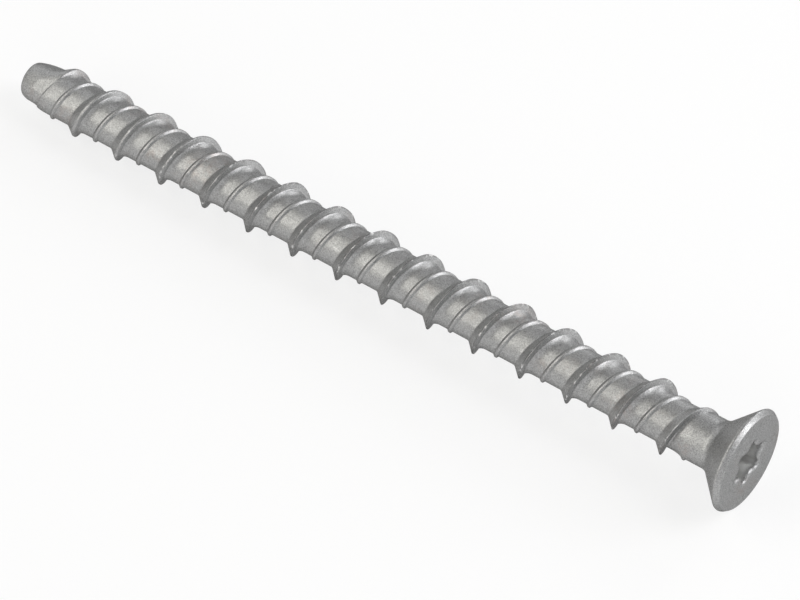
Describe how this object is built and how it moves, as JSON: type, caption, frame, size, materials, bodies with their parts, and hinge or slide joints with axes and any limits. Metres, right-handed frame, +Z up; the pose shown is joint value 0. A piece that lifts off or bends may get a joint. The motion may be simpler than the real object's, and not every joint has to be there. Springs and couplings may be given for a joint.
{
  "type": "concrete screw",
  "caption": "Long countersunk concrete screw with a six-lobed drive recess, plain neck, blunt rounded tip and a tall coarse thread with a low thread between its turns.",
  "frame": {"origin": "on the ground under the middle of the screw's length as it lies at rest", "axes": "+Z up, +X along the screw from its tip to its head; the axis rises towards the head by about 1.64 degrees, because the screw rests on the head's rim and on the first turn of its thread"},
  "size_m": [0.1606, 0.02, 0.02],
  "materials": {
    "zinc_flake_steel": "dull silver-grey zinc coating on steel, finely grained, brighter on worn crests"
  },
  "bodies": {
    "root": {"concrete_screw": "zinc_flake_steel"}
  },
  "joints": []
}
